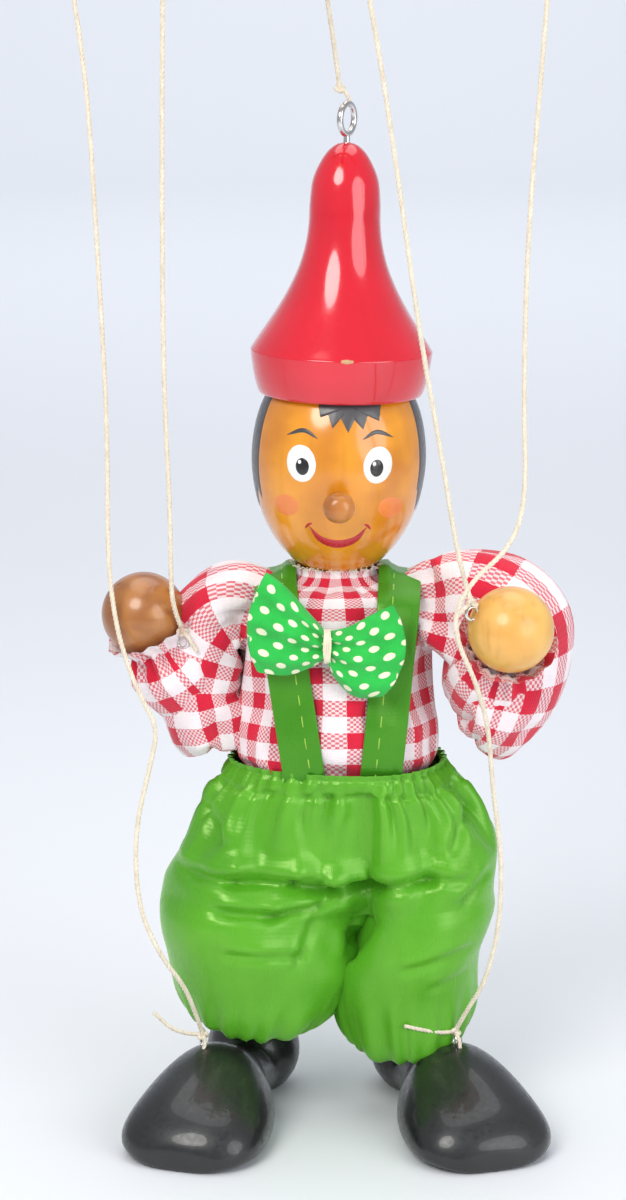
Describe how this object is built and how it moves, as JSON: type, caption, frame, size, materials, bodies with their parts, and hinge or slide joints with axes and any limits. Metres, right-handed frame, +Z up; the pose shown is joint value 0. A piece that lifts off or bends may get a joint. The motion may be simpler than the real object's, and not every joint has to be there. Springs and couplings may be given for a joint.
{
  "type": "marionette puppet",
  "caption": "Wooden string puppet with ball hands, egg head and tall pointed hat, in checked shirt and puffed trousers, hung by strings from a wooden cross control.",
  "frame": {"origin": "middle of the hang hole in the control's main bar", "axes": "+Z up, the puppet faces -Y, +X is its left side"},
  "size_m": [0.1155, 0.0903, 0.296],
  "materials": {
    "head_wood": "amber varnish",
    "bare_wood": "plain turned wood",
    "dark_wood": "dark stained wood",
    "right_hand_wood": "brown varnish",
    "left_hand_wood": "yellow varnish",
    "red_paint": "glossy red enamel on wood",
    "black_paint": "satin black enamel on wood",
    "nickel": "nickel plated wire",
    "gingham": "red and white checked cotton",
    "green_satin": "bright green satin",
    "green_ribbon": "green satin ribbon",
    "dotted_cotton": "green cotton with cream dots",
    "string": "twisted cream cotton",
    "elastic": "white knitted elastic",
    "control_wood": "plain sanded wood"
  },
  "bodies": {
    "torso": {"torso_block": "bare_wood", "shirt_body": "gingham", "limb_pegs": "bare_wood", "shoulder_pins": "nickel", "hip_pins": "nickel", "right_strap": "green_ribbon", "left_strap": "green_ribbon", "bow_tie": "dotted_cotton", "trousers_seat": "green_satin", "waist_elastic": "elastic", "control_main_bar": "control_wood", "control_hand_bar": "control_wood", "control_leg_bar": "control_wood", "control_screws": "nickel", "stopper_knots": "string", "right_hand_string": "string", "left_hand_string": "string", "right_foot_string": "string", "left_foot_string": "string", "head_string": "string"},
    "neck": {"neck_dowel": "dark_wood"},
    "head": {"head": "head_wood", "nod_pin": "nickel", "nose": "dark_wood", "hat": "red_paint", "hat_screw_eye": "nickel"},
    "right_upper_arm": {"right_upper_arm": "bare_wood", "right_elbow_pin": "nickel", "right_upper_sleeve": "gingham"},
    "right_forearm": {"right_forearm": "bare_wood", "right_hand": "right_hand_wood", "right_hand_eye": "nickel", "right_lower_sleeve": "gingham"},
    "left_upper_arm": {"left_upper_arm": "bare_wood", "left_elbow_pin": "nickel", "left_upper_sleeve": "gingham"},
    "left_forearm": {"left_forearm": "bare_wood", "left_hand": "left_hand_wood", "left_hand_eye": "nickel", "left_lower_sleeve": "gingham"},
    "right_thigh": {"right_thigh": "bare_wood", "right_knee_pin": "nickel", "right_trouser_upper": "green_satin"},
    "right_shin": {"right_shin": "bare_wood", "right_ankle_pin": "nickel", "right_trouser_lower": "green_satin"},
    "right_shoe": {"right_shoe": "black_paint", "right_shoe_eye": "nickel"},
    "left_thigh": {"left_thigh": "bare_wood", "left_knee_pin": "nickel", "left_trouser_upper": "green_satin"},
    "left_shin": {"left_shin": "bare_wood", "left_ankle_pin": "nickel", "left_trouser_lower": "green_satin"},
    "left_shoe": {"left_shoe": "black_paint", "left_shoe_eye": "nickel"}
  },
  "joints": [
    {"name": "neck_turn", "type": "hinge", "parent": "torso", "child": "neck", "pos_m": [-0.00302, -0.01795, -0.1545], "axis": [0, 0, 1], "range_deg": [-35, 35]},
    {"name": "head_nod", "type": "hinge", "parent": "neck", "child": "head", "pos_m": [-0.00302, -0.01795, -0.1545], "axis": [0.9997, 0, -0.0227], "range_deg": [-10, 10], "stiffness_Nm_per_rad": 0.06},
    {"name": "right_shoulder", "type": "hinge", "parent": "torso", "child": "right_upper_arm", "pos_m": [-0.02802, -0.01795, -0.1635], "axis": [-0.1951, 0.9542, 0.2266], "range_deg": [0, 75], "deforming": ["right_upper_sleeve", "right_hand_string"]},
    {"name": "right_elbow", "type": "hinge", "parent": "right_upper_arm", "child": "right_forearm", "pos_m": [-0.03202, -0.01295, -0.188], "axis": [-0.1951, 0.9542, 0.2266], "range_deg": [-30, 0], "deforming": ["right_lower_sleeve"]},
    {"name": "left_shoulder", "type": "hinge", "parent": "torso", "child": "left_upper_arm", "pos_m": [0.02198, -0.01795, -0.1635], "axis": [-0.7927, -0.466, -0.3932], "range_deg": [0, 75], "deforming": ["left_upper_sleeve", "left_hand_string"]},
    {"name": "left_elbow", "type": "hinge", "parent": "left_upper_arm", "child": "left_forearm", "pos_m": [0.03348, -0.01895, -0.1855], "axis": [-0.7927, -0.466, -0.3932], "range_deg": [-30, 0], "deforming": ["left_lower_sleeve"]},
    {"name": "right_hip", "type": "hinge", "parent": "torso", "child": "right_thigh", "pos_m": [-0.01702, -0.01595, -0.2115], "axis": [-0.9935, 0.0621, 0.0955], "range_deg": [0, 40], "deforming": ["right_trouser_upper", "right_foot_string", "trousers_seat"]},
    {"name": "right_knee", "type": "hinge", "parent": "right_thigh", "child": "right_shin", "pos_m": [-0.02002, -0.02395, -0.2375], "axis": [-0.9935, 0.0621, 0.0955], "range_deg": [-80, 0], "deforming": ["right_trouser_lower"]},
    {"name": "right_ankle", "type": "hinge", "parent": "right_shin", "child": "right_shoe", "pos_m": [-0.02202, -0.01595, -0.2635], "axis": [-0.9935, 0.0621, 0.0955], "range_deg": [0, 40]},
    {"name": "left_hip", "type": "hinge", "parent": "torso", "child": "left_thigh", "pos_m": [0.01098, -0.01595, -0.2115], "axis": [-0.9935, -0.0621, -0.0955], "range_deg": [0, 40], "deforming": ["left_trouser_upper", "left_foot_string"]},
    {"name": "left_knee", "type": "hinge", "parent": "left_thigh", "child": "left_shin", "pos_m": [0.01398, -0.02395, -0.2375], "axis": [-0.9935, -0.0621, -0.0955], "range_deg": [-80, 0], "deforming": ["left_trouser_lower"]},
    {"name": "left_ankle", "type": "hinge", "parent": "left_shin", "child": "left_shoe", "pos_m": [0.01598, -0.01595, -0.2635], "axis": [-0.9935, -0.0621, -0.0955], "range_deg": [0, 40]}
  ],
  "couplings": [
    {"joint": "right_elbow", "follows": "right_shoulder", "ratio": -0.4},
    {"joint": "left_elbow", "follows": "left_shoulder", "ratio": -0.4},
    {"joint": "right_knee", "follows": "right_hip", "ratio": -2},
    {"joint": "right_ankle", "follows": "right_hip", "ratio": 1},
    {"joint": "left_knee", "follows": "left_hip", "ratio": -2},
    {"joint": "left_ankle", "follows": "left_hip", "ratio": 1}
  ]
}
